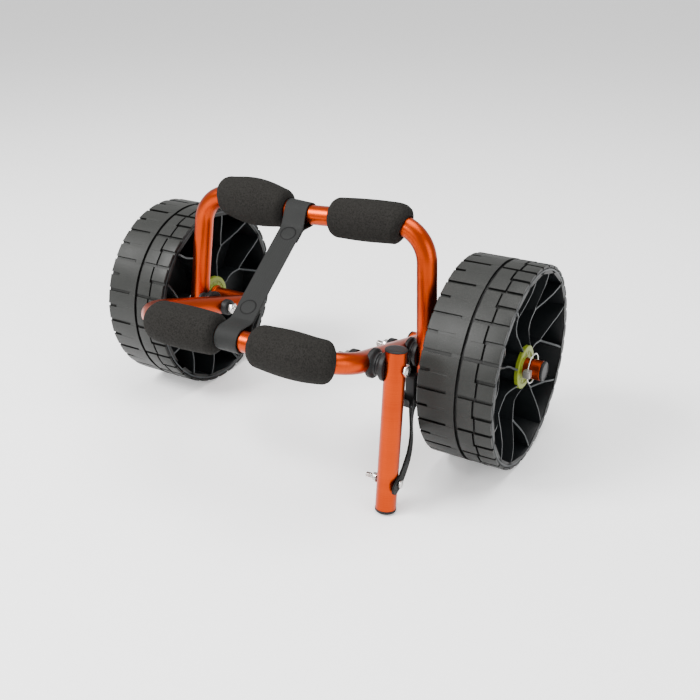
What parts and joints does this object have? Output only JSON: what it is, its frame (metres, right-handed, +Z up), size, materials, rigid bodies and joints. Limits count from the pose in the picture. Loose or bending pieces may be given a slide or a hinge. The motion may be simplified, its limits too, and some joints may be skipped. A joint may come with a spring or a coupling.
{
  "type": "watercraft cart",
  "caption": "Two-wheel folding cart for a kayak or canoe, with foam-padded U bars, airless wheels on stub axles and a kickstand.",
  "frame": {"origin": "on the ground, under the middle of the cart's box", "axes": "+X to the cart's right, along the axles; +Y to its rear; +Z up"},
  "size_m": [0.6132, 0.39, 0.3284],
  "materials": {
    "orange_tube": "satin orange anodised",
    "foam": "charcoal closed-cell foam",
    "webbing": "dark woven webbing",
    "tread": "dark grey tread",
    "rim": "black moulded plastic",
    "lime_bush": "lime moulded plastic",
    "grey_cap": "dark grey plastic",
    "black_plastic": "black plastic",
    "steel": "bright stainless steel"
  },
  "bodies": {
    "front_frame": {"axle_cap_left": "grey_cap", "axle_cap_right": "grey_cap", "axle_plug_left": "black_plastic", "axle_plug_right": "black_plastic", "centre_strap": "webbing", "foam_pad_front_left": "foam", "foam_pad_front_right": "foam", "front_frame_tube": "orange_tube", "kickstand_bolt": "steel", "kickstand_nut": "steel", "kickstand_saddle_front": "black_plastic", "kickstand_washer": "black_plastic", "pivot_bolt_left": "steel", "pivot_bolt_right": "steel", "pivot_nut_left": "steel", "pivot_nut_right": "steel", "pivot_saddle_front_left": "black_plastic", "pivot_saddle_front_right": "black_plastic", "pivot_washer_left": "black_plastic", "pivot_washer_right": "black_plastic", "stub_axle_left": "orange_tube", "stub_axle_right": "orange_tube"},
    "rear_frame": {"rear_frame_tube": "orange_tube", "foam_pad_rear_left": "foam", "foam_pad_rear_right": "foam", "rear_leg_plug_left": "black_plastic", "rear_leg_plug_right": "black_plastic", "pivot_saddle_rear_left": "black_plastic", "pivot_saddle_rear_right": "black_plastic"},
    "wheel_left": {"wheel_rim_left": "rim", "tyre_left": "tread", "hub_bush_inner_left": "lime_bush", "hub_bush_outer_left": "lime_bush"},
    "wheel_right": {"wheel_rim_right": "rim", "tyre_right": "tread", "hub_bush_inner_right": "lime_bush", "hub_bush_outer_right": "lime_bush"},
    "kickstand": {"kickstand_tube": "orange_tube", "kickstand_top_cap": "black_plastic", "kickstand_foot_cap": "black_plastic", "kickstand_saddle_rear": "black_plastic", "limiter_bolt": "steel", "limiter_nut": "steel", "limiter_washer": "steel", "limiter_strap": "webbing"},
    "pin_left": {"lynch_pin_left": "steel"},
    "pin_right": {"lynch_pin_right": "steel"},
    "ring_left": {"lynch_ring_left": "steel"},
    "ring_right": {"lynch_ring_right": "steel"}
  },
  "joints": [
    {"name": "frame_fold", "type": "hinge", "parent": "front_frame", "child": "rear_frame", "pos_m": [0, -0.00043, 0.14868], "axis": [1, 0, 0], "range_deg": [0, 55], "deforming": ["centre_strap"]},
    {"name": "wheel_left_spin", "type": "hinge", "parent": "front_frame", "child": "wheel_left", "pos_m": [-0.24215, 0.06516, 0.13], "axis": [1, 0, 0], "continuous": true},
    {"name": "wheel_right_spin", "type": "hinge", "parent": "front_frame", "child": "wheel_right", "pos_m": [0.24215, 0.06516, 0.13], "axis": [1, 0, 0], "continuous": true},
    {"name": "kickstand_swing", "type": "hinge", "parent": "front_frame", "child": "kickstand", "pos_m": [0.19037, -0.11084, 0.18013], "axis": [1, 0, 0], "range_deg": [0, 22], "deforming": ["limiter_strap"]},
    {"name": "lynch_pin_left_pull", "type": "slide", "parent": "front_frame", "child": "pin_left", "axis": [0, -1, 0], "range_m": [0, 0.0101]},
    {"name": "lynch_ring_left_flip", "type": "hinge", "parent": "pin_left", "child": "ring_left", "pos_m": [-0.29, 0.04761, 0.13], "axis": [0, 0, 1], "range_deg": [0, 175]},
    {"name": "lynch_pin_right_pull", "type": "slide", "parent": "front_frame", "child": "pin_right", "axis": [0, -1, 0], "range_m": [0, 0.0101]},
    {"name": "lynch_ring_right_flip", "type": "hinge", "parent": "pin_right", "child": "ring_right", "pos_m": [0.29, 0.04761, 0.13], "axis": [0, 0, -1], "range_deg": [0, 175]}
  ],
  "couplings": [
    {"joint": "lynch_ring_left_flip", "follows": "lynch_pin_left_pull", "rad_per_m": 300},
    {"joint": "lynch_ring_right_flip", "follows": "lynch_pin_right_pull", "rad_per_m": 300}
  ]
}
